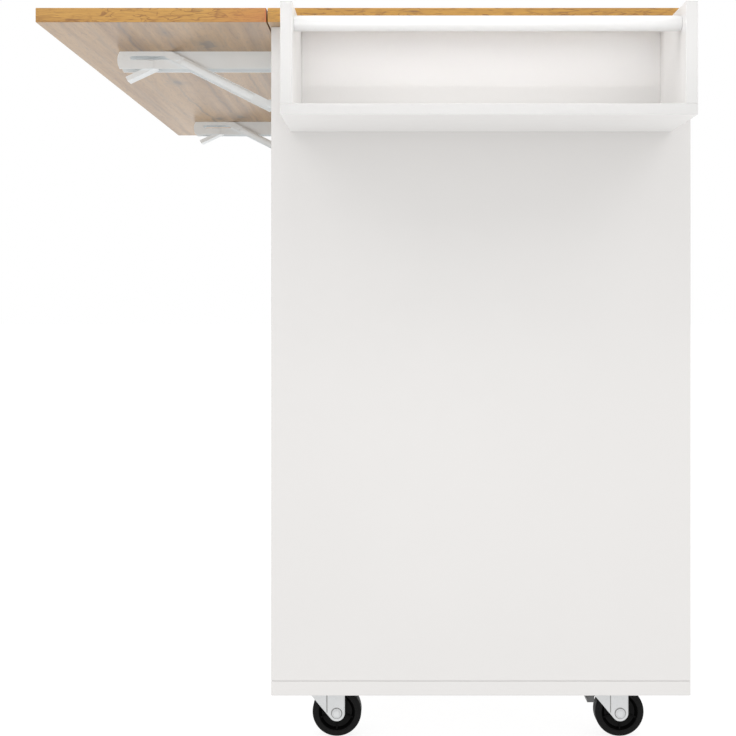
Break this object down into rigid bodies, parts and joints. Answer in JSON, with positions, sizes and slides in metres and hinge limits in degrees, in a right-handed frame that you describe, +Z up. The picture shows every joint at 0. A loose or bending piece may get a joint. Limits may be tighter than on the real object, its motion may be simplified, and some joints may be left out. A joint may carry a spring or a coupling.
{
  "type": "kitchen cart",
  "caption": "Wheeled kitchen cart with an oak worktop, a drop leaf on folding brackets, drawers and cupboards, a side spice rack and a towel bar.",
  "frame": {"origin": "middle of the whole footprint, on the floor, with the leaf raised", "axes": "+Z up; doors and drawers face -Y, the drop leaf is at +Y; the spice rack is at -X and the towel bar at +X"},
  "size_m": [1.1124, 0.8404, 0.943],
  "materials": {
    "white_board": "smooth white laminate on board, satin",
    "inside_board": "white board, matt",
    "oak": "golden oak, satin lacquer, grain along the length",
    "bracket_steel": "light grey enamel on pressed steel",
    "caster_steel": "light grey coated steel",
    "wheel_black": "black moulded rubber, matt",
    "brake_grey": "dark grey moulded plastic",
    "knob_metal": "satin metal"
  },
  "bodies": {
    "cabinet": {"worktop": "oak", "side_rack": "white_board", "side_towel": "white_board", "bottom_board": "white_board", "back_panel": "white_board", "divider": "white_board", "top_rails": "white_board", "drawer_rails": "white_board", "shelves": "inside_board", "shelf_pins": "caster_steel", "rack_end_front": "white_board", "rack_end_back": "white_board", "rack_shelf": "white_board", "rack_bar": "white_board", "towel_end_front": "white_board", "towel_end_back": "white_board", "towel_bar": "white_board", "wall_channel_near": "bracket_steel", "wall_channel_far": "bracket_steel", "runners_fixed": "caster_steel", "door_hinges_fixed": "caster_steel", "caster_plates": "caster_steel"},
    "leaf": {"leaf": "oak", "arm_near": "bracket_steel", "arm_far": "bracket_steel"},
    "brace_near": {"brace_near": "bracket_steel"},
    "slot_pin_near": {"slot_pin_near": "bracket_steel"},
    "lever_near": {"lever_near": "bracket_steel"},
    "brace_far": {"brace_far": "bracket_steel"},
    "slot_pin_far": {"slot_pin_far": "bracket_steel"},
    "lever_far": {"lever_far": "bracket_steel"},
    "drawer_left": {"drawer_left_front": "white_board", "drawer_left_box": "inside_board", "drawer_left_knob": "knob_metal", "drawer_left_runners": "caster_steel"},
    "drawer_right": {"drawer_right_front": "white_board", "drawer_right_box": "inside_board", "drawer_right_knob": "knob_metal", "drawer_right_runners": "caster_steel"},
    "door_left": {"door_left": "white_board", "door_left_hinges": "caster_steel", "door_left_knob": "knob_metal"},
    "door_right": {"door_right": "white_board", "door_right_hinges": "caster_steel", "door_right_knob": "knob_metal"},
    "fork_rack_front": {"fork_rack_front": "caster_steel"},
    "fork_rack_back": {"fork_rack_back": "caster_steel"},
    "fork_towel_front": {"fork_towel_front": "caster_steel"},
    "fork_towel_back": {"fork_towel_back": "caster_steel"},
    "wheel_rack_front": {"wheel_rack_front": "wheel_black"},
    "wheel_rack_back": {"wheel_rack_back": "wheel_black"},
    "wheel_towel_front": {"wheel_towel_front": "wheel_black"},
    "wheel_towel_back": {"wheel_towel_back": "wheel_black"},
    "brake_rack_front": {"brake_rack_front": "brake_grey"},
    "brake_towel_front": {"brake_towel_front": "brake_grey"}
  },
  "joints": [
    {"name": "leaf_fold", "type": "hinge", "parent": "cabinet", "child": "leaf", "pos_m": [-0.26525, 0.14175, 0.905], "axis": [-1, 0, 0], "range_deg": [0, 90]},
    {"name": "brace_near_turn", "type": "hinge", "parent": "cabinet", "child": "brace_near", "pos_m": [-0.26525, 0.14675, 0.852], "axis": [-1, 0, 0], "range_deg": [0, 114.24]},
    {"name": "slot_pin_near_slide", "type": "slide", "parent": "leaf", "child": "slot_pin_near", "axis": [0, 1, 0], "range_m": [0, 0.06303]},
    {"name": "lever_near_turn", "type": "hinge", "parent": "leaf", "child": "lever_near", "pos_m": [-0.26525, 0.31075, 0.907], "axis": [1, 0, 0], "range_deg": [0, 25]},
    {"name": "brace_far_turn", "type": "hinge", "parent": "cabinet", "child": "brace_far", "pos_m": [0.35475, 0.14675, 0.852], "axis": [-1, 0, 0], "range_deg": [0, 114.24]},
    {"name": "slot_pin_far_slide", "type": "slide", "parent": "leaf", "child": "slot_pin_far", "axis": [0, 1, 0], "range_m": [0, 0.06303]},
    {"name": "lever_far_turn", "type": "hinge", "parent": "leaf", "child": "lever_far", "pos_m": [0.35475, 0.31075, 0.907], "axis": [1, 0, 0], "range_deg": [0, 25]},
    {"name": "drawer_left_slide", "type": "slide", "parent": "cabinet", "child": "drawer_left", "axis": [0, -1, 0], "range_m": [0, 0.33]},
    {"name": "drawer_right_slide", "type": "slide", "parent": "cabinet", "child": "drawer_right", "axis": [0, -1, 0], "range_m": [0, 0.33]},
    {"name": "door_left_swing", "type": "hinge", "parent": "cabinet", "child": "door_left", "pos_m": [-0.40475, -0.39725, 0.1005], "axis": [0, 0, -1], "range_deg": [0, 105]},
    {"name": "door_right_swing", "type": "hinge", "parent": "cabinet", "child": "door_right", "pos_m": [0.47825, -0.39725, 0.1005], "axis": [0, 0, 1], "range_deg": [0, 105]},
    {"name": "swivel_rack_front", "type": "hinge", "parent": "cabinet", "child": "fork_rack_front", "pos_m": [-0.33275, -0.30425, 0.07], "axis": [0, 0, 1], "continuous": true},
    {"name": "swivel_rack_back", "type": "hinge", "parent": "cabinet", "child": "fork_rack_back", "pos_m": [-0.33275, 0.07175, 0.07], "axis": [0, 0, 1], "continuous": true},
    {"name": "swivel_towel_front", "type": "hinge", "parent": "cabinet", "child": "fork_towel_front", "pos_m": [0.40625, -0.30425, 0.07], "axis": [0, 0, 1], "continuous": true},
    {"name": "swivel_towel_back", "type": "hinge", "parent": "cabinet", "child": "fork_towel_back", "pos_m": [0.40625, 0.07175, 0.07], "axis": [0, 0, 1], "continuous": true},
    {"name": "roll_rack_front", "type": "hinge", "parent": "fork_rack_front", "child": "wheel_rack_front", "pos_m": [-0.33275, -0.32525, 0.0325], "axis": [1, 0, 0], "continuous": true},
    {"name": "roll_rack_back", "type": "hinge", "parent": "fork_rack_back", "child": "wheel_rack_back", "pos_m": [-0.33275, 0.05075, 0.0325], "axis": [1, 0, 0], "continuous": true},
    {"name": "roll_towel_front", "type": "hinge", "parent": "fork_towel_front", "child": "wheel_towel_front", "pos_m": [0.40625, -0.32525, 0.0325], "axis": [1, 0, 0], "continuous": true},
    {"name": "roll_towel_back", "type": "hinge", "parent": "fork_towel_back", "child": "wheel_towel_back", "pos_m": [0.40625, 0.05075, 0.0325], "axis": [1, 0, 0], "continuous": true},
    {"name": "brake_rack_front_lift", "type": "hinge", "parent": "fork_rack_front", "child": "brake_rack_front", "pos_m": [-0.33275, -0.29925, 0.061], "axis": [1, 0, 0], "range_deg": [0, 12]},
    {"name": "brake_towel_front_lift", "type": "hinge", "parent": "fork_towel_front", "child": "brake_towel_front", "pos_m": [0.40625, -0.29925, 0.061], "axis": [1, 0, 0], "range_deg": [0, 12]}
  ],
  "couplings": [
    {"joint": "brace_near_turn", "follows": "leaf_fold", "ratio": 1.2694},
    {"joint": "slot_pin_near_slide", "follows": "leaf_fold", "m_per_rad": 0.040129},
    {"joint": "lever_near_turn", "follows": "leaf_fold", "ratio": 0.27778},
    {"joint": "brace_far_turn", "follows": "leaf_fold", "ratio": 1.2694},
    {"joint": "slot_pin_far_slide", "follows": "leaf_fold", "m_per_rad": 0.040129},
    {"joint": "lever_far_turn", "follows": "leaf_fold", "ratio": 0.27778}
  ]
}
